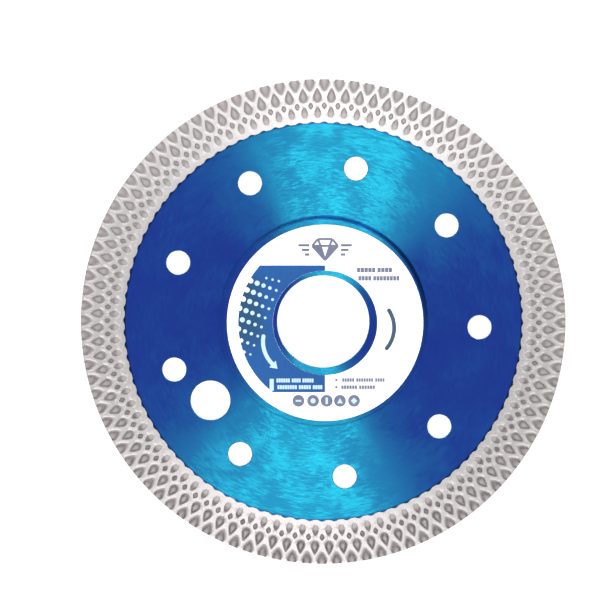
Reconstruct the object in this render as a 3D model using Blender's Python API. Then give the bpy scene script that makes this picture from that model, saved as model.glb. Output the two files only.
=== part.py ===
"""Diamond blade for a small angle grinder: 105 mm across, on a 20 mm bore.

The blade lies flat, with its axis on +Z and its label side up. The origin is the bore's centre,
halfway through the steel core. Lengths are in metres and angles in radians.
"""
from math import cos, pi, radians, sin

import bmesh
import bpy

# Driving dimensions.
BLADE_R = 0.0525            # outer radius of the diamond rim
BORE_R = 0.0100             # the grinder spindle's standard 20 mm bore
CORE_THICK = 0.0009         # steel core
RIM_THICK = 0.0014          # diamond rim, which stands proud of the core on both faces
FLANGE_R = 0.0225
FLANGE_THICK = 0.0005
FLANGE_BEVEL = 0.00015
LABEL_THICK = 0.00012
CONTACT_GAP = 0.00002       # left between faces that touch

# Seam between core and rim: a zigzag, with one tooth for each mesh cell.
SEAM_R = 0.04285
SEAM_TOOTH = 0.0005

# Mesh on the rim's faces: pockets in rows, each row half a cell round from the one outside it.
CELLS = 100
CELL = 2 * pi / CELLS
MESH_START = radians(89.7)  # centre of a front pocket in the outermost row
EDGE_FLOOR_SPREAD = 0.23    # half width of an edge pocket's floor, in cells
EDGE_FLOOR_END = 0.0503     # radius where that floor ends

# Ring of small holes in the core, and one larger hole to hang the blade by.
SMALL_HOLES = 9
SMALL_HOLE_R = 0.0026
SMALL_HOLE_RING_R = 0.0339
SMALL_HOLE_START = radians(-2.1)
HANG_HOLE_R = 0.0043
HANG_HOLE_RING_R = 0.0298
HANG_HOLE_ANGLE = radians(215)

# Spot welds that hold the flanges to the core.
WELDS = 6
WELD_R = 0.0020
WELD_RING_R = 0.0160

# Label, stuck on a little off centre.
LABEL_OUTER_R = 0.02124
LABEL_INNER_R = 0.01131
LABEL_X = 0.00041
LABEL_Y = -0.00027

SHARP_ANGLE = radians(35)


class PocketRow:
    """One row of pockets: radii of its outer, widest and inner points, half width in cells, depth."""

    def __init__(self, outer, widest, inner, half_width, depth):
        self.outer = outer
        self.widest = widest
        self.inner = inner
        self.half_width = half_width
        self.depth = depth


# From the edge inwards. The first row is open at the blade's edge.
POCKET_ROWS = [
    PocketRow(outer=None, widest=BLADE_R, inner=0.0498, half_width=0.30, depth=0.00040),
    PocketRow(outer=0.0504, widest=0.0490, inner=0.0474, half_width=0.315, depth=0.00040),
    PocketRow(outer=0.0475, widest=0.0468, inner=0.0457, half_width=0.20, depth=0.00030),
    PocketRow(outer=0.0463, widest=0.0456, inner=0.0440, half_width=0.195, depth=0.00020),
]


def clear_scene():
    for obj in list(bpy.data.objects):
        bpy.data.objects.remove(obj, do_unlink=True)


def material(name, colour, roughness, metallic):
    mat = bpy.data.materials.new(name)
    mat.use_nodes = True
    shader = mat.node_tree.nodes["Principled BSDF"]
    shader.inputs["Base Color"].default_value = (*colour, 1.0)
    shader.inputs["Roughness"].default_value = roughness
    shader.inputs["Metallic"].default_value = metallic
    return mat


def add_object(name, bm, mat):
    """Closes the bmesh into a named object with faces that look outwards."""
    bmesh.ops.recalc_face_normals(bm, faces=bm.faces)
    mesh = bpy.data.meshes.new(name)
    bm.to_mesh(mesh)
    bm.free()
    mesh.shade_smooth()
    mesh.set_sharp_from_angle(angle=SHARP_ANGLE)
    mesh.materials.append(mat)
    obj = bpy.data.objects.new(name, mesh)
    bpy.context.scene.collection.objects.link(obj)
    return obj


def on_circle(radius, angle, x=0.0, y=0.0):
    return (x + radius * cos(angle), y + radius * sin(angle))


def circle(radius, segments, x=0.0, y=0.0):
    return [on_circle(radius, 2 * pi * i / segments, x, y) for i in range(segments)]


def ring_of_places(count, radius, start):
    return [on_circle(radius, start + 2 * pi * i / count) for i in range(count)]


def weld_places():
    return ring_of_places(WELDS, WELD_RING_R, 0.0)


def seam_radius(half_cell):
    """The seam's radius at each half cell: a tooth's tip, then the root beside it."""
    return SEAM_R + SEAM_TOOTH * (1 - half_cell % 2)


def plate(name, outline, holes, z_low, z_high, mat):
    """A flat plate with holes, extruded from z_low to z_high."""
    bm = bmesh.new()
    edges = []
    for loop in [outline] + holes:
        verts = [bm.verts.new((x, y, z_low)) for x, y in loop]
        edges += [bm.edges.new(pair) for pair in zip(verts, verts[1:] + verts[:1])]
    bmesh.ops.triangle_fill(bm, edges=edges, use_beauty=True)
    raised = bmesh.ops.extrude_face_region(bm, geom=list(bm.faces))
    raised_verts = [item for item in raised["geom"] if isinstance(item, bmesh.types.BMVert)]
    bmesh.ops.translate(bm, verts=raised_verts, vec=(0, 0, z_high - z_low))
    return add_object(name, bm, mat)


def turned_ring(name, profile, segments, mat):
    """Spins a closed profile of (radius, z) points round the axis."""
    bm = bmesh.new()
    verts = [bm.verts.new((radius, 0, z)) for radius, z in profile]
    edges = [bm.edges.new(pair) for pair in zip(verts, verts[1:] + verts[:1])]
    bmesh.ops.spin(bm, geom=verts + edges, cent=(0, 0, 0), axis=(0, 0, 1),
                   angle=2 * pi, steps=segments, use_merge=True)
    return add_object(name, bm, mat)


def steel_core(mat):
    outline = []
    for half_cell in range(2 * CELLS):
        outline.append(on_circle(seam_radius(half_cell), MESH_START + half_cell * CELL / 2))
    holes = [circle(BORE_R, 64)]
    for x, y in ring_of_places(SMALL_HOLES, SMALL_HOLE_RING_R, SMALL_HOLE_START):
        holes.append(circle(SMALL_HOLE_R, 20, x, y))
    hang_x, hang_y = on_circle(HANG_HOLE_RING_R, HANG_HOLE_ANGLE)
    holes.append(circle(HANG_HOLE_R, 28, hang_x, hang_y))
    for x, y in weld_places():
        holes.append(circle(WELD_R + CONTACT_GAP, 12, x, y))
    return plate("steel_core", outline, holes, -CORE_THICK / 2, CORE_THICK / 2, mat)


class RimFace:
    """One face of the rim. Side is +1 for the front and -1 for the back.

    The back's mesh lies half a cell round from the front's, so that the rim keeps its thickness:
    behind each pocket there is a rib.
    """

    def __init__(self, bm, side):
        self.bm = bm
        self.side = side
        self.shift = 0 if side > 0 else 1
        self.rows = [self.pocket_row(index, row) for index, row in enumerate(POCKET_ROWS)]
        self.seam = [self.seam_point(half_cell) for half_cell in range(2 * CELLS)]
        self.fill_ribs()
        self.fill_inner_band()

    def point(self, cells, radius, depth=0.0):
        x, y = on_circle(radius, MESH_START + cells * CELL)
        return self.bm.verts.new((x, y, self.side * (RIM_THICK / 2 - depth)))

    def seam_point(self, half_cell):
        return self.point(half_cell / 2, seam_radius(half_cell) + CONTACT_GAP)

    def pocket_row(self, index, row):
        """The row's pockets, keyed by their centre in half cells."""
        pockets = {}
        for cell in range(CELLS):
            half_cell = (2 * cell + index + self.shift) % (2 * CELLS)
            make = self.edge_pocket if row.outer is None else self.closed_pocket
            pockets[half_cell] = make(half_cell / 2, row)
        return pockets

    def edge_pocket(self, centre, row):
        left = self.point(centre - row.half_width, row.widest)
        right = self.point(centre + row.half_width, row.widest)
        bottom = self.point(centre, row.inner)
        floor_left = self.point(centre - EDGE_FLOOR_SPREAD, row.widest, row.depth)
        floor_right = self.point(centre + EDGE_FLOOR_SPREAD, row.widest, row.depth)
        floor_end = self.point(centre, EDGE_FLOOR_END, row.depth)
        self.bm.faces.new((left, floor_left, floor_end, bottom))
        self.bm.faces.new((bottom, floor_end, floor_right, right))
        self.bm.faces.new((floor_left, floor_right, floor_end))
        return {"left": left, "right": right, "bottom": bottom,
                "floor_left": floor_left, "floor_right": floor_right}

    def closed_pocket(self, centre, row):
        top = self.point(centre, row.outer)
        right = self.point(centre + row.half_width, row.widest)
        bottom = self.point(centre, row.inner)
        left = self.point(centre - row.half_width, row.widest)
        floor = self.point(centre, row.widest, row.depth)
        rim = [top, right, bottom, left]
        for near, far in zip(rim, rim[1:] + rim[:1]):
            self.bm.faces.new((near, far, floor))
        return {"top": top, "left": left, "right": right, "bottom": bottom}

    def pocket(self, row, half_cell):
        return self.rows[row][half_cell % (2 * CELLS)]

    def fill_ribs(self):
        """The flat tops of the ribs between each row of pockets and the next."""
        face = self.bm.faces.new
        for half_cell, here in self.rows[0].items():
            face((here["right"], self.pocket(0, half_cell + 2)["left"],
                  self.pocket(1, half_cell + 1)["top"]))
        for index in range(len(self.rows) - 1):
            for half_cell, here in self.rows[index].items():
                before = self.pocket(index + 1, half_cell - 1)
                after = self.pocket(index + 1, half_cell + 1)
                face((here["right"], after["top"], after["left"], here["bottom"]))
                face((here["left"], here["bottom"], before["right"], before["top"]))
                if index + 2 < len(self.rows):
                    below = self.pocket(index + 2, half_cell)
                    face((here["bottom"], after["left"], below["top"], before["right"]))

    def fill_inner_band(self):
        """The plain band between the innermost pockets and the seam."""
        face = self.bm.faces.new
        last = len(self.rows) - 1
        for half_cell, here in self.rows[last].items():
            following = self.pocket(last, half_cell + 2)
            above = self.pocket(last - 1, half_cell + 1)
            seam = [self.seam[(half_cell + step) % (2 * CELLS)] for step in range(3)]
            face((here["right"], here["bottom"], seam[0], seam[1]))
            face((seam[1], seam[2], following["bottom"], following["left"]))
            face((above["bottom"], here["right"], seam[1], following["left"]))


def diamond_rim(mat):
    """A sintered ring with a raised mesh on both faces, which also shows as a wavy outer edge."""
    bm = bmesh.new()
    front = RimFace(bm, +1)
    back = RimFace(bm, -1)
    for half_cell, pocket in front.rows[0].items():
        behind = back.pocket(0, half_cell - 1)
        ahead = back.pocket(0, half_cell + 1)
        following = front.pocket(0, half_cell + 2)
        bm.faces.new((pocket["left"], pocket["floor_left"], behind["right"], behind["floor_right"]))
        bm.faces.new((pocket["floor_left"], pocket["floor_right"], ahead["left"], behind["right"]))
        bm.faces.new((pocket["floor_right"], pocket["right"], ahead["floor_left"], ahead["left"]))
        bm.faces.new((pocket["right"], following["left"], ahead["floor_right"], ahead["floor_left"]))
    for half_cell in range(2 * CELLS):
        bm.faces.new((front.seam[half_cell - 1], front.seam[half_cell],
                      back.seam[half_cell], back.seam[half_cell - 1]))
    bmesh.ops.triangulate(bm, faces=bm.faces)
    return add_object("diamond_rim", bm, mat)


def flange(name, side, mat):
    """A thin disc against one face of the core, with a bevelled outer edge."""
    inner = CORE_THICK / 2 + CONTACT_GAP
    outer = inner + FLANGE_THICK
    profile = [
        (BORE_R, side * inner),
        (FLANGE_R, side * inner),
        (FLANGE_R, side * (outer - FLANGE_BEVEL)),
        (FLANGE_R - FLANGE_BEVEL, side * outer),
        (BORE_R, side * outer),
    ]
    return turned_ring(name, profile, 64, mat)


def weld_nugget(number, place, mat):
    """The weld metal that fills a hole through the core, from one flange to the other."""
    bm = bmesh.new()
    bmesh.ops.create_cone(bm, cap_ends=True, segments=12, radius1=WELD_R, radius2=WELD_R,
                          depth=CORE_THICK)
    nugget = add_object("weld_nugget_%d" % number, bm, mat)
    nugget.location = (*place, 0.0)
    return nugget


def label_front(mat):
    low = CORE_THICK / 2 + FLANGE_THICK + 2 * CONTACT_GAP
    outline = circle(LABEL_OUTER_R, 72, LABEL_X, LABEL_Y)
    hole = circle(LABEL_INNER_R, 48, LABEL_X, LABEL_Y)
    return plate("label_front", outline, [hole], low, low + LABEL_THICK, mat)


def build():
    clear_scene()
    steel = material("blue_steel", (0.022, 0.055, 0.30), 0.32, 0.85)
    flange_steel = material("flange_steel", (0.022, 0.055, 0.30), 0.32, 0.85)
    sinter = material("sintered_rim", (0.62, 0.58, 0.56), 0.55, 0.80)
    weld = material("weld_steel", (0.45, 0.44, 0.43), 0.50, 1.00)
    paper = material("label_paper", (0.93, 0.93, 0.93), 0.45, 0.00)
    steel_core(steel)
    diamond_rim(sinter)
    flange("flange_front", +1, flange_steel)
    flange("flange_back", -1, flange_steel)
    for number, place in enumerate(weld_places(), start=1):
        weld_nugget(number, place, weld)
    label_front(paper)


build()
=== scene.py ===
"""Looks of the diamond blade: sintered mesh rim, brushed blue steel, printed label, soft studio.

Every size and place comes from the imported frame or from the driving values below. Lengths are in
metres, angles in radians, and the blade's axis is +Z.
"""
import random
from bisect import bisect
from itertools import accumulate
from math import asin, atan2, cos, hypot, pi, radians, sin

import bmesh
import bpy
from mathutils import Euler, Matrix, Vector, noise
from mathutils.geometry import delaunay_2d_cdt


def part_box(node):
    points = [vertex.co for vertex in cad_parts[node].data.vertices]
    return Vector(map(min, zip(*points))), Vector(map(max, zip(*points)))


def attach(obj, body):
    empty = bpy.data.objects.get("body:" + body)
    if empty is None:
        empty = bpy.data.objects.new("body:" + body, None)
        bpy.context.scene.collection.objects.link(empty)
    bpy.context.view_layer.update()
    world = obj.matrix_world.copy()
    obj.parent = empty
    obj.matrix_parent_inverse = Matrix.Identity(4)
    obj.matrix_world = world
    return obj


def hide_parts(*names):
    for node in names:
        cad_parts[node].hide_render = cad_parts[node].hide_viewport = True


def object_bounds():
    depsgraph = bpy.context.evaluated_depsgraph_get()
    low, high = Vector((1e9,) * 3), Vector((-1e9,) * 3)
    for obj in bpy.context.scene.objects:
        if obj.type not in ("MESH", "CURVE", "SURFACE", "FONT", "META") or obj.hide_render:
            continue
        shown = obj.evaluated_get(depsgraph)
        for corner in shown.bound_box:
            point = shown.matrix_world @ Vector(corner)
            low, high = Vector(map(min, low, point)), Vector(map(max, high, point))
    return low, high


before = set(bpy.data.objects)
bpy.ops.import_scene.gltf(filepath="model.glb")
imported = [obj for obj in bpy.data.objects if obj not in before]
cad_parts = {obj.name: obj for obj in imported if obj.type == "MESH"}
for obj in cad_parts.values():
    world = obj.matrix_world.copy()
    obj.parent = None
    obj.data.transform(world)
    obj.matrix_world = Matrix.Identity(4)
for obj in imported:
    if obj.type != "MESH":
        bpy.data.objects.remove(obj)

MM = 0.001
CAD_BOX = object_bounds()

# Sizes and places read from the frame.
RIM_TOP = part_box("diamond_rim")[1].z
CORE_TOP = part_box("steel_core")[1].z
FLANGE_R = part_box("flange_front")[1].x
FLANGE_LOW, FLANGE_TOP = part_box("flange_front")[0].z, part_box("flange_front")[1].z
LABEL_LOW, LABEL_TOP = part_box("label_front")[0].z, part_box("label_front")[1].z
LABEL_CENTRE = ((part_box("label_front")[0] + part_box("label_front")[1]) / 2).xy
LABEL_R = (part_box("label_front")[1].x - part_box("label_front")[0].x) / 2
FLOOR_Z = CAD_BOX[0].z - 0.02 * MM

# Sizes that the frame's boxes don't give.
BLADE_R = 52.5 * MM
BORE_R = 10.0 * MM
BORE_SEGMENTS = 128
LABEL_HOLE_R = 11.31 * MM

# The spot welds, and their prints in the flanges.
WELDS = 6
WELD_R = 2.0 * MM
WELD_SEGMENTS = 32
WELD_RING_R = 16.0 * MM
WELD_PRINT_DEPTH = 0.09 * MM

# The mesh on the rim.
CELLS = 100
CELL = 2 * pi / CELLS
MESH_START = radians(89.7)
OUTLINE_STEPS = 16

# The seam between core and rim: small notches, one for each mesh cell.
SEAM_R = 43.0 * MM
SEAM_NOTCH = 0.38 * MM
SEAM_STEPS = 6
SEAM_GAP = 0.01 * MM

# Holes in the core.
SMALL_HOLES = 9
SMALL_HOLE_R = 2.6 * MM
SMALL_HOLE_RING_R = 33.9 * MM
SMALL_HOLE_START = radians(-2.1)
SMALL_HOLE_SEGMENTS = 48
HANG_HOLE_R = 4.3 * MM
HANG_HOLE_RING_R = 29.8 * MM
HANG_HOLE_ANGLE = radians(215)
HANG_HOLE_SEGMENTS = 64
HOLE_CHAMFER = 0.10 * MM

# Faces that meet at a sharper angle than this keep their edge, and the rest is shaded smooth.
SHARP_ANGLE = radians(35)

# The print: an ink layer's thickness, and in millimetres the outer radius of the blue panel.
INK = 0.010 * MM
PANEL_R = 18.8

# Surface of the rim: its lumps, which take off a share of the height, and its diamond crystals,
# which sit a share of their size below the surface and keep clear of the seam.
LUMP_SIZE = 0.7 * MM
LUMP_SHARE = 0.05
CRYSTALS = 2600
CRYSTAL_R = 0.13 * MM
CRYSTAL_SUNK = 0.35
CRYSTAL_SEAM_GAP = 0.6 * MM

# Two fans of light stand across the blade from each other: azimuth, spread and power.
FAR_FAN = (radians(83.5), radians(50), 5.6)
NEAR_FAN = (radians(258.0), radians(61), 6.7)


# ---------------------------------------------------------------- shapes

def on_circle(radius, angle, centre=(0.0, 0.0)):
    return (centre[0] + radius * cos(angle), centre[1] + radius * sin(angle))


def circle(radius, segments, centre=(0.0, 0.0)):
    return [on_circle(radius, 2 * pi * i / segments, centre) for i in range(segments)]


def arc(radius, start, end, steps, centre=(0.0, 0.0)):
    return [on_circle(radius, start + (end - start) * i / steps, centre) for i in range(steps + 1)]


def loop_at(bm, points, z):
    return [bm.verts.new((x, y, z)) for x, y in points]


def anticlockwise(loop):
    """The loop of vertices, turned round if it runs clockwise seen from above."""
    pairs = zip(loop, loop[1:] + loop[:1])
    area = sum(a.co.x * b.co.y - b.co.x * a.co.y for a, b in pairs)
    return loop if area > 0 else loop[::-1]


def fill_between(bm, outer, holes):
    """Fills the flat region inside a loop of vertices and outside the loops that lie in it."""
    verts = []
    loops = []
    for loop in [outer] + holes:
        loops.append(list(range(len(verts), len(verts) + len(loop))))
        verts += anticlockwise(loop)
    flat = [Vector((v.co.x, v.co.y)) / MM for v in verts]
    _, _, triangles, sources, _, inside = delaunay_2d_cdt(flat, [], loops, 1, 1e-7)
    for triangle, loops_round_it in zip(triangles, inside):
        if loops_round_it == [0]:
            bm.faces.new([verts[sources[i][0]] for i in triangle])


def bridge(bm, first, second):
    """Quads between two closed loops with as many points each."""
    count = len(first)
    for i in range(count):
        j = (i + 1) % count
        bm.faces.new((first[i], first[j], second[j], second[i]))


def add_piece(name, bm, mat, replaces=()):
    bmesh.ops.recalc_face_normals(bm, faces=bm.faces)
    mesh = bpy.data.meshes.new(name)
    bm.to_mesh(mesh)
    bm.free()
    mesh.shade_smooth()
    mesh.set_sharp_from_angle(angle=SHARP_ANGLE)
    mesh.materials.append(mat)
    piece = bpy.data.objects.new(name, mesh)
    bpy.context.scene.collection.objects.link(piece)
    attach(piece, "root")
    if replaces:
        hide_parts(*replaces)
    return piece


# ---------------------------------------------------------------- node helpers

class Nodes:
    """A short way to write a material's node tree."""

    def __init__(self, name):
        self.mat = bpy.data.materials.new(name)
        self.mat.use_nodes = True
        self.tree = self.mat.node_tree
        self.shader = self.tree.nodes["Principled BSDF"]

    def feed(self, socket, value):
        if isinstance(value, bpy.types.NodeSocket):
            self.tree.links.new(value, socket)
        else:
            socket.default_value = value

    def set(self, name, value):
        self.feed(self.shader.inputs[name], value)

    def position(self):
        return self.tree.nodes.new("ShaderNodeNewGeometry").outputs["Position"]

    def math(self, operation, a, b=0.0):
        node = self.tree.nodes.new("ShaderNodeMath")
        node.operation = operation
        self.feed(node.inputs[0], a)
        self.feed(node.inputs[1], b)
        return node.outputs[0]

    def weigh(self, a, share_a, b, share_b):
        """The sum of two values, each times its share."""
        return self.math("ADD", self.math("MULTIPLY", a, share_a), self.math("MULTIPLY", b, share_b))

    def split(self, vector):
        node = self.tree.nodes.new("ShaderNodeSeparateXYZ")
        self.feed(node.inputs[0], vector)
        return node.outputs

    def join(self, x, y, z):
        node = self.tree.nodes.new("ShaderNodeCombineXYZ")
        for socket, value in zip(node.inputs, (x, y, z)):
            self.feed(socket, value)
        return node.outputs[0]

    def smooth(self, value, low, high):
        """0 up to low, 1 from high on, with a smooth step between. low may be the larger."""
        node = self.tree.nodes.new("ShaderNodeMapRange")
        node.interpolation_type = "SMOOTHSTEP"
        self.feed(node.inputs["Value"], value)
        node.inputs["From Min"].default_value = low
        node.inputs["From Max"].default_value = high
        return node.outputs["Result"]

    def scale(self, value, low, high):
        """Maps 0..1 to low..high."""
        node = self.tree.nodes.new("ShaderNodeMapRange")
        self.feed(node.inputs["Value"], value)
        node.inputs["To Min"].default_value = low
        node.inputs["To Max"].default_value = high
        return node.outputs["Result"]

    def mix(self, factor, a, b):
        node = self.tree.nodes.new("ShaderNodeMix")
        node.data_type = "RGBA"
        self.feed(node.inputs["Factor"], factor)
        self.feed(node.inputs["A"], a)
        self.feed(node.inputs["B"], b)
        return node.outputs["Result"]

    def noise(self, vector, size, detail=2.0, roughness=0.5):
        node = self.tree.nodes.new("ShaderNodeTexNoise")
        self.feed(node.inputs["Vector"], vector)
        node.inputs["Scale"].default_value = 1 / size
        node.inputs["Detail"].default_value = detail
        node.inputs["Roughness"].default_value = roughness
        return node.outputs["Fac"]

    def cells(self, vector, size):
        """Distance from the middle of the nearest of many irregular cells."""
        node = self.tree.nodes.new("ShaderNodeTexVoronoi")
        self.feed(node.inputs["Vector"], vector)
        node.inputs["Scale"].default_value = 1 / size
        return node.outputs["Distance"]

    def radial_tangent(self):
        """Lets anisotropic gloss run round the blade's axis."""
        node = self.tree.nodes.new("ShaderNodeTangent")
        node.direction_type = "RADIAL"
        node.axis = "Z"
        self.set("Tangent", node.outputs[0])

    def bump(self, height, distance, strength):
        node = self.tree.nodes.new("ShaderNodeBump")
        node.inputs["Strength"].default_value = strength
        node.inputs["Distance"].default_value = distance
        self.feed(node.inputs["Height"], height)
        return node.outputs["Normal"]


def colour(red, green, blue):
    return (red, green, blue, 1.0)


# ---------------------------------------------------------------- materials

def polar(nodes):
    """Radius, height and unit direction of the shaded point round the blade's axis."""
    x, y, z = nodes.split(nodes.position())
    radius = nodes.math("SQRT", nodes.math("ADD", nodes.math("MULTIPLY", x, x),
                                           nodes.math("MULTIPLY", y, y)))
    return radius, z, nodes.math("DIVIDE", x, radius), nodes.math("DIVIDE", y, radius)


def blue_steel(name):
    """Steel brushed round the axis under transparent blue lacquer: navy, with cyan reflections."""
    n = Nodes(name)
    radius, _, east, north = polar(n)

    def strokes(turn, width, detail):
        """Noise drawn out round the axis: a stroke's length is an angle, its width a distance."""
        vector = n.join(n.math("DIVIDE", east, turn), n.math("DIVIDE", north, turn),
                        n.math("DIVIDE", radius, width))
        return n.noise(vector, 1.0, detail, 0.6)

    hair = strokes(0.045, 0.12 * MM, 1.0)
    fine = strokes(0.050, 0.26 * MM, 2.0)
    broad = strokes(0.10, 0.6 * MM, 2.0)
    cloud = n.noise(n.position(), 9.0 * MM, 2.0)
    streaks = n.weigh(fine, 0.40, broad, 0.18)
    streaks = n.math("ADD", streaks, n.math("MULTIPLY", cloud, 0.42))
    blue = n.mix(n.smooth(hair, 0.30, 0.70), colour(0.0085, 0.0125, 0.165),
                 colour(0.0110, 0.0160, 0.195))

    # Painted shadow: the lacquer is painted dark along the flange's step, most on one side as the
    # step's cast shadow, and painted shade runs along the seam, darkest in its notches.
    toward_shadow = n.weigh(east, 0.5, north, 0.866)
    # The painted shadow line runs just outside the step at the top and just inside it at the bottom.
    drawn_in = n.math("ADD", radius, n.math("MULTIPLY", n.math("SUBTRACT", 1.0, north), 0.26 * MM))
    shadow_shift = n.math("MULTIPLY", toward_shadow, 0.28 * MM)
    past_flange = n.smooth(n.math("SUBTRACT", drawn_in, shadow_shift), FLANGE_R + 0.42 * MM,
                           FLANGE_R + 0.10 * MM)
    on_flange = n.smooth(drawn_in, FLANGE_R - 0.56 * MM, FLANGE_R - 0.28 * MM)
    painted_flange_shadow = n.math("MULTIPLY", n.math("MULTIPLY", past_flange, on_flange),
                    n.scale(n.smooth(toward_shadow, 0.20, 0.90), 0.10, 0.90))
    seam_painted_shade = n.smooth(radius, SEAM_R - 0.34 * MM, SEAM_R - 0.14 * MM)
    notch_painted_shade = n.smooth(radius, SEAM_R - 0.06 * MM, SEAM_R + 0.06 * MM)
    dark = n.math("MAXIMUM", painted_flange_shadow, n.weigh(seam_painted_shade, 0.55, notch_painted_shade, 0.40))
    n.set("Base Color", n.mix(dark, blue, colour(0.003, 0.014, 0.120)))
    # The painted shade also gets a high metal share, which dims the sky-blue gloss there as well.
    n.set("Metallic", n.scale(dark, 0.04, 0.85))
    # Strokes that lie rougher send less of the sky-blue gloss back.
    n.set("Roughness", n.scale(n.smooth(streaks, 0.62, 0.40), 0.31, 0.63))
    n.set("IOR", 3.0)
    n.set("Specular Tint", colour(0.012, 0.58, 0.58))
    n.set("Anisotropic", 1.0)
    n.radial_tangent()
    n.set("Anisotropic Rotation", 0.25)
    n.set("Normal", n.bump(n.weigh(hair, 0.5, fine, 0.5), 0.010 * MM, 0.4))
    return n.mat


def sinter(name):
    """Sintered metal with diamond grit: ground bright on the ribs, dull in the pockets, with painted
    shade in the pockets' depths and painted light towards the top of the blade.
    """
    n = Nodes(name)
    place = n.position()
    _, z, _, north = polar(n)
    height = n.math("ABSOLUTE", z)
    on_rib = n.smooth(height, RIM_TOP - 0.12 * MM, RIM_TOP - 0.03 * MM)
    raised = n.smooth(height, RIM_TOP - 0.41 * MM, RIM_TOP - 0.24 * MM)
    blotches = n.noise(place, 0.9 * MM, 3.0, 0.6)
    grains = n.noise(place, 0.16 * MM, 3.0, 0.65)
    speck = n.smooth(n.cells(place, 0.34 * MM), 0.26, 0.12)
    # Painted light: the rim is painted a little paler at the top of the blade than at the bottom.
    pale = n.smooth(north, -1.1, 1.1)
    rib = n.mix(n.smooth(grains, 0.35, 0.65), colour(0.345, 0.322, 0.320), colour(0.450, 0.428, 0.424))
    rib = n.mix(n.math("MULTIPLY", pale, 0.33), rib, colour(0.60, 0.58, 0.57))
    pocket = n.mix(n.smooth(blotches, 0.35, 0.65), colour(0.080, 0.066, 0.066),
                   colour(0.160, 0.138, 0.136))
    pocket = n.mix(n.math("MULTIPLY", pale, 0.85), pocket, colour(0.26, 0.235, 0.23))
    # Painted shade: the pockets are painted darkest deep down and lighter up their walls and on their
    # raised crowns.
    pocket = n.mix(n.math("MULTIPLY", raised, 0.70), pocket, colour(0.36, 0.34, 0.335))
    pocket = n.mix(n.math("MULTIPLY", speck, 0.4), pocket, colour(0.44, 0.425, 0.40))
    n.set("Base Color", n.mix(on_rib, pocket, rib))
    n.set("Metallic", n.scale(on_rib, 0.10, 0.40))
    n.set("Roughness", n.math("SUBTRACT", n.scale(grains, 0.50, 0.75),
                              n.math("MULTIPLY", on_rib, 0.12)))
    n.set("Anisotropic", 0.8)
    n.radial_tangent()
    n.set("Anisotropic Rotation", 0.25)
    n.set("Normal", n.bump(n.weigh(grains, 0.6, speck, 0.4), 0.05 * MM, 0.5))
    return n.mat


def crystal(name):
    """Synthetic diamond grit, yellow to grey."""
    n = Nodes(name)
    shade = n.noise(n.position(), 0.8 * MM, 1.0)
    n.set("Base Color", n.mix(n.smooth(shade, 0.35, 0.65), colour(0.30, 0.28, 0.20),
                              colour(0.52, 0.51, 0.47)))
    n.set("Roughness", n.scale(shade, 0.10, 0.30))
    n.set("IOR", 2.2)
    return n.mat


def bare_weld(name):
    """Bare steel of a spot weld."""
    n = Nodes(name)
    shade = n.noise(n.position(), 0.5 * MM, 4.0)
    n.set("Base Color", n.mix(shade, colour(0.30, 0.29, 0.28), colour(0.52, 0.51, 0.49)))
    n.set("Metallic", 1.0)
    n.set("Roughness", n.scale(shade, 0.35, 0.6))
    n.set("Normal", n.bump(shade, 0.03 * MM, 0.4))
    return n.mat


def paper(name):
    """Smooth coated label paper with a faint fibre."""
    n = Nodes(name)
    place = n.position()
    fibre = n.noise(place, 0.25 * MM, 4.0, 0.7)
    cloud = n.noise(place, 6.0 * MM, 2.0)
    n.set("Base Color", n.mix(cloud, colour(0.90, 0.91, 0.94), colour(0.96, 0.96, 0.97)))
    n.set("Roughness", n.scale(fibre, 0.42, 0.58))
    n.set("Normal", n.bump(fibre, 0.01 * MM, 0.2))
    return n.mat


def ink(name, light, dark):
    """Printing ink that lies a little unevenly on the paper."""
    n = Nodes(name)
    place = n.position()
    cloud = n.noise(place, 2.5 * MM, 3.0, 0.6)
    fibre = n.noise(place, 0.25 * MM, 4.0, 0.7)
    n.set("Base Color", n.mix(n.smooth(cloud, 0.3, 0.7), light, dark))
    n.set("Roughness", n.scale(fibre, 0.35, 0.5))
    n.set("Specular IOR Level", 0.2)
    n.set("Normal", n.bump(fibre, 0.01 * MM, 0.15))
    return n.mat


def panel_ink(name):
    """The label's blue panel: deeper and greener towards the dotted left edge."""
    n = Nodes(name)
    place = n.position()
    x, y, _ = n.split(place)
    cloud = n.noise(place, 2.0 * MM, 3.0, 0.6)
    left = n.smooth(x, -11.5 * MM, -15.5 * MM)
    high = n.math("MULTIPLY", n.smooth(y, -8.0 * MM, -1.0 * MM), n.smooth(y, 10.5 * MM, 8.0 * MM))
    blue = n.mix(n.smooth(cloud, 0.3, 0.7), colour(0.006, 0.072, 0.250), colour(0.004, 0.062, 0.226))
    n.set("Base Color", n.mix(n.math("MULTIPLY", n.math("MULTIPLY", left, high), 0.85), blue,
                              colour(0.009, 0.050, 0.105)))
    n.set("Roughness", n.scale(cloud, 0.35, 0.5))
    n.set("Specular IOR Level", 0.2)
    return n.mat


def floor_material(name):
    """Matt pale paper."""
    n = Nodes(name)
    cloud = n.noise(n.position(), 0.25, 2.0)
    radius = polar(n)[0]
    n.set("Base Color", n.mix(cloud, colour(0.90, 0.90, 0.90), colour(0.93, 0.93, 0.93)))
    n.set("Roughness", 0.9)
    n.set("Specular IOR Level", 0.0)
    # The glow makes up for the lamps' falloff far from the blade.
    n.set("Emission Color", colour(1.0, 1.0, 1.0))
    n.set("Emission Strength", n.scale(n.smooth(radius, 0.4, 1.8), 0.25, 0.85))
    return n.mat


# ---------------------------------------------------------------- diamond rim

def squared(value, power):
    """A superellipse's coordinate: power 1 gives a diamond's straight side, 2 an ellipse."""
    return (1 if value > 0 else -1) * abs(value) ** (2 / power)


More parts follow.
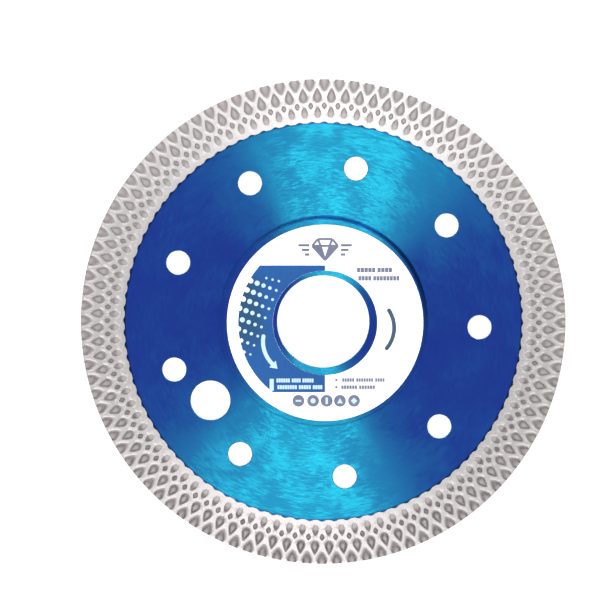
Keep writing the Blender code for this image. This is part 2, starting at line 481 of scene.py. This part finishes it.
class PocketRow:
    """One row of pockets.

    outer, widest and inner are the radii of its two tips and its widest place, in millimetres like
    half_width. A row whose outer tip lies beyond the blade's edge is open there. The powers round
    off its outer and inner half. As shares of the depth, rise lifts the floor towards the inner
    tip and dome lifts its middle.
    """

    def __init__(self, outer, widest, inner, half_width, outer_power, inner_power, rise, dome):
        self.open = outer * MM > BLADE_R
        self.widest = widest * MM
        self.out_reach = outer * MM - self.widest
        self.in_reach = self.widest - inner * MM
        self.half_width = half_width * MM
        self.outer_power = outer_power
        self.inner_power = inner_power
        self.rise = rise
        self.dome = dome
        self.middle = BLADE_R - self.widest if self.open else (self.out_reach - self.in_reach) / 2

    def outline(self):
        """Points (across, outwards) round the pocket, or from side to side if it is open."""
        if self.open:
            past = asin((self.middle / self.out_reach) ** (self.outer_power / 2))
            span = pi + 2 * past
            angles = [pi - past + span * i / OUTLINE_STEPS for i in range(OUTLINE_STEPS + 1)]
        else:
            angles = [2 * pi * i / OUTLINE_STEPS for i in range(OUTLINE_STEPS)]
        points = []
        for angle in angles:
            outside = sin(angle) > 1e-9
            power = self.outer_power if outside else self.inner_power
            reach = self.out_reach if outside else self.in_reach
            across = self.half_width * squared(round(cos(angle), 12), power)
            points.append((across, reach * squared(round(sin(angle), 12), power)))
        return points


POCKET_DEPTH = 0.42 * MM
# The rise starts this share of the inner reach outside the widest place, and lifts the crown less.
RISE_START = 0.2
CROWN_RISE = 0.3
POCKET_ROWS = [
    PocketRow(52.9, 51.7, 49.60, 1.20, 2.0, 1.30, rise=0.0, dome=0.40),
    PocketRow(50.7, 48.6, 47.25, 1.04, 1.25, 1.75, rise=0.0, dome=0.40),
    PocketRow(47.5, 46.75, 45.95, 0.57, 1.5, 1.5, rise=0.0, dome=0.05),
    PocketRow(46.65, 45.35, 43.65, 0.74, 1.4, 1.6, rise=0.95, dome=0.10),
]
# Wall and floor of a pocket, ring by ring: how far in, as a share of its half width, how deep, as
# a share of its depth, and the share of the dome. The floor's crown comes after the last ring.
WALL = [(0.00, 0.00, 0.0), (0.05, 0.10, 0.0), (0.14, 0.42, 0.0), (0.24, 0.80, 0.0),
        (0.36, 1.00, 0.0), (0.62, 1.00, 0.55)]


class RimFace:
    """One face of the rim, front for side +1 and back for side -1, half a cell out of step."""

    def __init__(self, bm, side):
        self.bm = bm
        self.side = side
        self.shift = 0.0 if side > 0 else 0.5
        self.edge = []
        self.outer_loop = []
        holes = []
        for cell in range(CELLS):
            for index, row in enumerate(POCKET_ROWS):
                centre = cell + index / 2 + self.shift
                rings, floor = self.pocket(row, centre)
                if row.open:
                    self.outer_loop += rings[0]
                    self.add_edge(rings, floor)
                else:
                    holes.append(rings[0])
        self.seam = [self.place(0, half, seam_radius(half), 0.0) for half in seam_cells()]
        fill_between(bm, self.outer_loop, holes + [self.seam])

    def place(self, across, cells, radius, depth):
        x, y = on_circle(radius, MESH_START + cells * CELL + across / radius)
        return self.bm.verts.new((x, y, self.side * (RIM_TOP - depth)))

    def pocket(self, row, centre):
        """Walls and floor of one pocket. Returns its rings of vertices and its floor's crown."""
        outline = row.outline()
        rings = []
        for inset, drop, bulge in WALL:
            ring = []
            for across, out in outline:
                out = row.middle + (out - row.middle) * (1 - inset)
                inward = min(1.0, max(0.0, RISE_START - out / row.in_reach))
                depth = POCKET_DEPTH * (drop - row.dome * bulge) * (1 - row.rise * inward)
                ring.append(self.place(across * (1 - inset), centre, row.widest + out, depth))
            rings.append(ring)
        crown = POCKET_DEPTH * (1 - row.dome) * (1 - row.rise * CROWN_RISE)
        floor = self.place(0, centre, row.widest + row.middle, crown)
        for upper, lower in zip(rings, rings[1:]):
            for i in range(len(upper) - 1):
                self.bm.faces.new((upper[i], upper[i + 1], lower[i + 1], lower[i]))
            if not row.open:
                self.bm.faces.new((upper[-1], upper[0], lower[0], lower[-1]))
        last = rings[-1]
        for i in range(len(last) - (1 if row.open else 0)):
            self.bm.faces.new((last[i], last[(i + 1) % len(last)], floor))
        return rings, floor

    def add_edge(self, rings, floor):
        """The open pocket's section at the blade's edge, from one side to the other."""
        self.edge += [ring[0] for ring in rings] + [floor]
        self.edge += [ring[-1] for ring in reversed(rings)]


def seam_cells():
    """Places round the seam, counted in mesh cells."""
    return [i / SEAM_STEPS for i in range(CELLS * SEAM_STEPS)]


def seam_radius(cells):
    """The seam's radius: a notch out into the rim at each whole cell."""
    return SEAM_R + SEAM_NOTCH * max(0.0, cos(2 * pi * cells)) ** 0.8


def wrapped_angle(vert):
    """A vertex's angle round the axis, counted from one cell before the mesh starts."""
    return (atan2(vert.co.y, vert.co.x) - MESH_START + CELL) % (2 * pi)


def edge_wall(bm, front, back):
    """Triangles between two rings of vertices round the blade's edge, matched by their angle."""
    upper = sorted(front, key=wrapped_angle)
    lower = sorted(back, key=wrapped_angle)
    i = 0
    j = 0
    while i < len(upper) or j < len(lower):
        next_upper = wrapped_angle(upper[(i + 1) % len(upper)]) + (2 * pi if i + 1 >= len(upper) else 0)
        next_lower = wrapped_angle(lower[(j + 1) % len(lower)]) + (2 * pi if j + 1 >= len(lower) else 0)
        here = upper[i % len(upper)]
        there = lower[j % len(lower)]
        if j >= len(lower) or (i < len(upper) and next_upper <= next_lower):
            bm.faces.new((here, upper[(i + 1) % len(upper)], there))
            i += 1
        else:
            bm.faces.new((here, lower[(j + 1) % len(lower)], there))
            j += 1


def roughen(bm):
    """Uneven sintered surface: the ribs and floors wander a little in height."""
    for vert in bm.verts:
        lump = noise.noise(vert.co / LUMP_SIZE) * 0.5 + 0.5
        vert.co.z *= 1 - LUMP_SHARE * lump


def diamond_rim():
    bm = bmesh.new()
    front = RimFace(bm, +1)
    back = RimFace(bm, -1)
    edge_wall(bm, front.edge, back.edge)
    # Both faces' seams run through the same angles, half a cell apart in their numbering.
    offset = SEAM_STEPS // 2
    turned = back.seam[-offset:] + back.seam[:-offset]
    bridge(bm, front.seam, turned)
    roughen(bm)
    return add_piece("rim_mesh", bm, sinter("sintered_metal"), ["diamond_rim"])


def octahedron(bm, centre, size, turn):
    tips = []
    for axis in range(3):
        arm = turn.col[axis] * size
        tips.append((bm.verts.new(centre + arm), bm.verts.new(centre - arm)))
    for a in tips[0]:
        for b in tips[1]:
            for c in tips[2]:
                bm.faces.new((a, b, c))


def grit(rim):
    """Diamond crystals that stand a little out of the rim: octahedra, turned every way."""
    draw = random.Random(7)
    faces = list(rim.data.polygons)
    reach = list(accumulate(face.area for face in faces))
    bm = bmesh.new()
    for _ in range(CRYSTALS):
        face = faces[bisect(reach, draw.random() * reach[-1])]
        corners = [rim.data.vertices[i].co for i in face.vertices]
        shares = [draw.random() + 0.1 for _ in corners]
        spot = sum((c * s for c, s in zip(corners, shares)), Vector()) / sum(shares)
        size = CRYSTAL_R * (0.6 + 0.4 * draw.random())
        turn = Euler([draw.random() * pi for _ in range(3)]).to_matrix()
        spot = spot - face.normal * size * CRYSTAL_SUNK
        radius = hypot(spot.x, spot.y)
        if BLADE_R - radius > size and radius - SEAM_R > CRYSTAL_SEAM_GAP:
            octahedron(bm, spot, size, turn)
    piece = add_piece("diamond_grit", bm, crystal("diamond_crystal"))
    piece.data.shade_flat()
    return piece


# ---------------------------------------------------------------- steel parts

def chamfered_plate(bm, half_thick, outline, holes):
    """A plate about z = 0. holes are (radius, centre, segments), chamfered on both faces."""
    outer = {side: loop_at(bm, outline, side * half_thick) for side in (+1, -1)}
    bridge(bm, outer[+1], outer[-1])
    mouths = {+1: [], -1: []}
    for radius, centre, segments in holes:
        walls = []
        for side in (+1, -1):
            mouth = loop_at(bm, circle(radius + HOLE_CHAMFER, segments, centre), side * half_thick)
            wall = loop_at(bm, circle(radius, segments, centre), side * (half_thick - HOLE_CHAMFER))
            bridge(bm, mouth, wall)
            mouths[side].append(mouth)
            walls.append(wall)
        bridge(bm, walls[0], walls[1])
    for side in (+1, -1):
        fill_between(bm, outer[side], mouths[side])


def steel_core(mat):
    outline = []
    for cells in seam_cells():
        outline.append(on_circle(seam_radius(cells) - SEAM_GAP, MESH_START + cells * CELL))
    holes = [(BORE_R, (0.0, 0.0), BORE_SEGMENTS)]
    for i in range(SMALL_HOLES):
        centre = on_circle(SMALL_HOLE_RING_R, SMALL_HOLE_START + 2 * pi * i / SMALL_HOLES)
        holes.append((SMALL_HOLE_R, centre, SMALL_HOLE_SEGMENTS))
    centre = on_circle(HANG_HOLE_RING_R, HANG_HOLE_ANGLE)
    holes.append((HANG_HOLE_R, centre, HANG_HOLE_SEGMENTS))
    for i in range(WELDS):
        holes.append((WELD_R, on_circle(WELD_RING_R, 2 * pi * i / WELDS), WELD_SEGMENTS))
    bm = bmesh.new()
    chamfered_plate(bm, CORE_TOP, outline, holes)
    return add_piece("core_disc", bm, mat, ["steel_core"])


def dimple(x, y):
    """Depth of the spot welds' prints in the flange."""
    depth = 0.0
    for i in range(WELDS):
        weld_x, weld_y = on_circle(WELD_RING_R, 2 * pi * i / WELDS)
        share = hypot(x - weld_x, y - weld_y) / WELD_R
        if share < 1:
            depth += WELD_PRINT_DEPTH * (1 - share ** 4)
    return depth


def flange(name, node, side, mat):
    """A pressed disc with an eased outer edge, a chamfered bore and the prints of the welds."""
    ease = 0.30 * MM
    drop = 0.24 * MM
    chamfer = 0.10 * MM
    segments = 288
    rings = 30
    ease_steps = 4
    profile = [(BORE_R, FLANGE_LOW), (BORE_R, FLANGE_TOP - chamfer)]
    inner = BORE_R + chamfer
    outer = FLANGE_R - ease
    for i in range(rings + 1):
        profile.append((inner + (outer - inner) * i / rings, FLANGE_TOP))
    for i in range(1, ease_steps + 1):
        turn = pi / 2 * i / ease_steps
        profile.append((outer + ease * sin(turn), FLANGE_TOP - drop * (1 - cos(turn))))
    profile.append((FLANGE_R, FLANGE_LOW))
    bm = bmesh.new()
    loops = []
    for radius, z in profile:
        loop = []
        for x, y in circle(radius, segments):
            lowered = z - dimple(x, y) if z == FLANGE_TOP else z
            loop.append(bm.verts.new((x, y, side * lowered)))
        loops.append(loop)
    for first, second in zip(loops, loops[1:] + loops[:1]):
        bridge(bm, first, second)
    return add_piece(name, bm, mat, [node])


# ---------------------------------------------------------------- label

def label_paper():
    """A flat ring of paper with an eased outer edge."""
    bm = bmesh.new()
    ease = 0.04 * MM
    segments = 192
    hole_segments = 144
    loops = []
    for radius, z in [(LABEL_R, LABEL_LOW), (LABEL_R, LABEL_TOP - ease), (LABEL_R - ease, LABEL_TOP)]:
        loops.append(loop_at(bm, circle(radius, segments, LABEL_CENTRE), z))
    holes = []
    for z in (LABEL_LOW, LABEL_TOP):
        holes.append(loop_at(bm, circle(LABEL_HOLE_R, hole_segments, LABEL_CENTRE), z))
    for first, second in zip(loops, loops[1:]):
        bridge(bm, first, second)
    bridge(bm, holes[0], holes[1])
    fill_between(bm, loops[0], [holes[0]])
    fill_between(bm, loops[-1], [holes[1]])
    return add_piece("label_paper", bm, paper("label_paper"), ["label_front"])


def printed(name, shapes, mat, layer=0):
    """Thin ink on the label: the union of closed outlines, in millimetres from the blade's axis."""
    points = []
    loops = []
    for shape in shapes:
        pairs = zip(shape, shape[1:] + shape[:1])
        runs_round = sum(a[0] * b[1] - b[0] * a[1] for a, b in pairs) > 0
        loops.append(list(range(len(points), len(points) + len(shape))))
        points += [Vector(point) for point in (shape if runs_round else shape[::-1])]
    spots, _, triangles, _, _, inside = delaunay_2d_cdt(points, [], loops, 1, 1e-6)
    bm = bmesh.new()
    low = LABEL_TOP + layer * INK
    verts = loop_at(bm, [spot * MM for spot in spots], low)
    for triangle, loops_round_it in zip(triangles, inside):
        if loops_round_it:
            bm.faces.new([verts[i] for i in triangle])
    bmesh.ops.delete(bm, geom=[v for v in verts if not v.link_faces], context="VERTS")
    raised = bmesh.ops.extrude_face_region(bm, geom=list(bm.faces))
    lifted = [item for item in raised["geom"] if isinstance(item, bmesh.types.BMVert)]
    bmesh.ops.translate(bm, verts=lifted, vec=(0, 0, INK))
    return add_piece(name, bm, mat)


def box_shape(left, right, low, high):
    return [(left, low), (right, low), (right, high), (left, high)]


def disc_shape(x, y, radius, segments=24):
    return circle(radius, segments, (x, y))


def band_shape(radius, width, start, end, centre):
    """A curved band with round ends."""
    steps = 24
    tip_steps = 8
    half = width / 2
    turn = 1 if end > start else -1
    shape = arc(radius + half, start, end, steps, centre)
    tip = on_circle(radius, end, centre)
    shape += arc(half, end, end + turn * pi, tip_steps, tip)[1:-1]
    shape += arc(radius - half, end, start, steps, centre)
    tail = on_circle(radius, start, centre)
    shape += arc(half, start + turn * pi, start + turn * 2 * pi, tip_steps, tail)[1:-1]
    return shape


def word_shapes(left, right, y, height, word_lengths):
    """A line of print as plain blocks in groups. word_lengths says how many blocks a group has."""
    shapes = []
    gap = 0.08
    space = 0.42
    blocks = sum(word_lengths)
    room = right - left - gap * (blocks - len(word_lengths)) - space * (len(word_lengths) - 1)
    width = room / blocks
    x = left
    for length in word_lengths:
        for _ in range(length):
            shapes.append(box_shape(x, x + width, y - height / 2, y + height / 2))
            x += width + gap
        x += space - gap
    return shapes


def stroke_shape(start, end, width):
    """A straight stroke with square ends."""
    ahead = (Vector(end) - Vector(start)).normalized()
    across = Vector((-ahead.y, ahead.x)) * width / 2
    return [tuple(Vector(start) - across), tuple(Vector(end) - across),
            tuple(Vector(end) + across), tuple(Vector(start) + across)]


def panel_shape():
    """The blue panel: the label's left part, from a straight top edge down to a straight bottom."""
    centre = tuple(value / MM for value in LABEL_CENTRE)
    inner_r = LABEL_HOLE_R / MM + 0.01
    right = 0.40
    top = 12.15
    bottom = -15.3
    steps = 64
    start = atan2(top - centre[1], -(PANEL_R ** 2 - (top - centre[1]) ** 2) ** 0.5)
    end = 2 * pi + atan2(bottom - centre[1], -(PANEL_R ** 2 - (bottom - centre[1]) ** 2) ** 0.5)
    shape = [(right, top)] + arc(PANEL_R, start, end, steps, centre) + [(right, bottom)]
    return shape + arc(inner_r, pi * 1.5, pi * 0.5, steps, (right, centre[1]))


def halftone_shapes():
    """Dots in slanting rows, smaller to the right and below.

    Returns the dots on the panel, and those that run over its edge.
    """
    centre = tuple(value / MM for value in LABEL_CENTRE)
    on_panel = []
    on_edge = []
    for row in range(8):
        for column in range(-1, 4):
            x = -14.3 - 0.80 * row + 1.38 * column
            y = 8.3 - 1.98 * row - 0.52 * column
            radius = (0.56 - 0.085 * max(column, 0)) * (1.0 if row < 5 else 1.25 - 0.06 * row)
            reach = hypot(x - centre[0], y - centre[1])
            if reach + radius < PANEL_R:
                on_panel.append(disc_shape(x, y, radius, 16))
            elif reach < PANEL_R + 0.2:
                on_edge.append(disc_shape(x, y, radius, 16))
    for column in range(3):
        on_panel.append(disc_shape(-12.3 + 1.35 * column, 9.4 - 0.33 * column, 0.27, 12))
    return on_panel, on_edge


def arrow_shapes():
    """The direction arrow on the panel: a curved band and its head."""
    centre = (-6.3, -4.35)
    radius = 6.72
    base = radians(226)
    ahead = Vector((cos(base + pi / 2), sin(base + pi / 2)))
    foot = Vector(on_circle(radius, base, centre))
    across = Vector((cos(base), sin(base)))
    head = [tuple(foot + ahead * 1.5), tuple(foot + across * 1.0), tuple(foot - across * 1.0)]
    return [band_shape(radius, 0.85, radians(170), base, centre), head]


def gem_shapes(x, y, width, height, line):
    """A plain cut gem in outline, with its two lower side facets filled."""
    half = width / 2
    top = y + height / 2
    girdle = y + height * 0.18
    point = (x, y - height / 2)
    left = (x - half, girdle)
    right = (x + half, girdle)
    top_left = (x - half * 0.55, top)
    top_right = (x + half * 0.55, top)
    inner_left = (x - half * 0.35, girdle)
    inner_right = (x + half * 0.35, girdle)
    pairs = [(left, top_left), (top_left, top_right), (top_right, right), (right, point),
             (point, left), (left, right), (inner_left, point), (inner_right, point),
             (top_left, inner_left), (top_right, inner_right)]
    facets = [[left, point, inner_left], [inner_right, point, right]]
    return facets + [stroke_shape(start, end, line) for start, end in pairs]


def label_print():
    centre = tuple(value / MM for value in LABEL_CENTRE)
    blue = panel_ink("panel_ink")
    pale = ink("pale_ink", colour(0.43, 0.57, 0.69), colour(0.39, 0.53, 0.66))
    white = ink("white_ink", colour(0.93, 0.94, 0.96), colour(0.88, 0.90, 0.93))
    slate = ink("slate_ink", colour(0.040, 0.075, 0.125), colour(0.028, 0.055, 0.100))
    grey = ink("grey_ink", colour(0.140, 0.150, 0.215), colour(0.110, 0.120, 0.185))

    printed("print_panel", [panel_shape()], blue)
    on_panel, on_edge = halftone_shapes()
    # Dots that run over the panel's edge look like bare paper, and scallop it.
    printed("print_edge_dots", on_edge, white, layer=1)
    on_panel += arrow_shapes()
    on_panel.append(box_shape(-11.6, -10.7, -15.0, -12.4))
    on_panel += word_shapes(-10.1, -2.1, -12.75, 0.85, [6, 4, 5])
    on_panel += word_shapes(-9.9, -0.2, -14.2, 0.85, [8, 5, 4])
    printed("print_pale", on_panel, pale, layer=1)

    printed("print_slate", [band_shape(6.9, 0.90, radians(33), radians(-40), (8.45, -1.35))], slate)

    soft = gem_shapes(centre[0], 15.55, 5.6, 4.6, 0.50)
    for side in (-1, 1):
        for step, length in enumerate((2.4, 1.7, 1.0)):
            start = centre[0] + side * 3.4
            height = 16.5 - 1.0 * step
            soft.append(stroke_shape((start, height), (start + side * length, height), 0.55))
    soft += word_shapes(7.3, 14.9, 11.15, 1.00, [5, 4]) + word_shapes(7.6, 16.5, 9.35, 1.00, [4, 8])
    soft += [disc_shape(2.85, -12.65, 0.3, 12), disc_shape(2.85, -14.2, 0.3, 12)]
    soft += word_shapes(4.1, 13.3, -12.65, 0.80, [5, 7, 4])
    soft += word_shapes(3.9, 11.2, -14.2, 0.80, [6, 6])
    printed("print_grey", soft, grey)

    badges = [disc_shape(x, -17.15, 1.30) for x in (-5.35, -2.2, 0.76, 3.62, 6.67)]
    printed("print_badges", badges, grey)
    marks = [box_shape(-5.95, -4.75, -17.35, -16.95), disc_shape(-2.2, -17.15, 0.55),
             box_shape(0.5, 1.02, -17.85, -16.45),
             [(3.0, -17.7), (4.24, -17.7), (3.62, -16.55)],
             [(6.67, -17.85), (7.37, -17.15), (6.67, -16.45), (5.97, -17.15)]]
    printed("print_badge_marks", marks, pale, layer=1)


# ---------------------------------------------------------------- studio

def floor():
    """A round floor that turns up into a low wall far from the blade."""
    middle_r = 0.5
    flat_r = 2.6
    bend_r = 0.3
    bend_steps = 8
    wall_height = 0.5
    segments = 96
    profile = [(middle_r, 0.0)]
    for i in range(bend_steps + 1):
        turn = pi / 2 * i / bend_steps
        profile.append((flat_r + bend_r * sin(turn), bend_r * (1 - cos(turn))))
    profile.append((flat_r + bend_r, wall_height))
    bm = bmesh.new()
    loops = [loop_at(bm, circle(radius, segments), FLOOR_Z + height) for radius, height in profile]
    bm.faces.new(loops[0])
    for first, second in zip(loops, loops[1:]):
        bridge(bm, second, first)
    mesh = bpy.data.meshes.new("floor")
    bm.to_mesh(mesh)
    bm.free()
    mesh.shade_smooth()
    mesh.materials.append(floor_material("floor_paper"))
    ground = bpy.data.objects.new("floor", mesh)
    bpy.context.scene.collection.objects.link(ground)


def light_strip(name, azimuth, tilt, distance, size, power):
    """A soft strip that looks down at the blade. Tilt is its angle from straight overhead."""
    data = bpy.data.lights.new(name, "AREA")
    data.shape = "RECTANGLE"
    data.size, data.size_y = size
    data.energy = power
    light = bpy.data.objects.new(name, data)
    x, y = on_circle(distance * sin(tilt), azimuth)
    light.location = (x, y, distance * cos(tilt))
    light.rotation_euler = (-light.location).to_track_quat("-Z", "Y").to_euler()
    bpy.context.scene.collection.objects.link(light)


def light_fan(name, azimuth, spread, power):
    """Strips side by side in a fan: a brushed disc shows it as a bright sector."""
    strips = 7
    tilt = radians(33)
    tilt_span = radians(30)
    distance = 0.80
    step = spread / strips
    size = (distance * sin(tilt) * step, distance * tilt_span)
    for i in range(strips):
        turn = step * (i - (strips - 1) / 2)
        light_strip("%s_%d" % (name, i + 1), azimuth + turn, tilt, distance, size, power / strips)


def studio():
    world = bpy.data.worlds.new("studio")
    world.use_nodes = True
    background = world.node_tree.nodes["Background"]
    background.inputs["Color"].default_value = colour(0.90, 0.93, 1.0)
    background.inputs["Strength"].default_value = 0.14
    bpy.context.scene.world = world
    light_fan("fan_far", *FAR_FAN)
    light_fan("fan_near", *NEAR_FAN)
    bpy.context.scene.view_settings.view_transform = "Standard"


def camera():
    """Straight above the blade, which stands a little right of and below the picture's middle."""
    view_width = 129.9 * MM
    middle = (-5.02 * MM, 4.66 * MM)
    data = bpy.data.cameras.new("camera")
    data.sensor_width = 36.0
    data.lens = 180.0
    cam = bpy.data.objects.new("camera", data)
    distance = view_width * data.lens / data.sensor_width
    cam.location = (middle[0], middle[1], RIM_TOP + distance)
    bpy.context.scene.collection.objects.link(cam)
    bpy.context.scene.camera = cam


# ---------------------------------------------------------------- build

grit(diamond_rim())
steel = blue_steel("blue_steel")
steel_core(steel)
flange("front_flange", "flange_front", +1, steel)
flange("back_flange", "flange_back", -1, steel)
weld = bare_weld("weld_steel")
for number in range(1, WELDS + 1):
    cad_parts["weld_nugget_%d" % number].data.materials.clear()
    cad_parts["weld_nugget_%d" % number].data.materials.append(weld)
label_paper()
label_print()
floor()
studio()
camera()
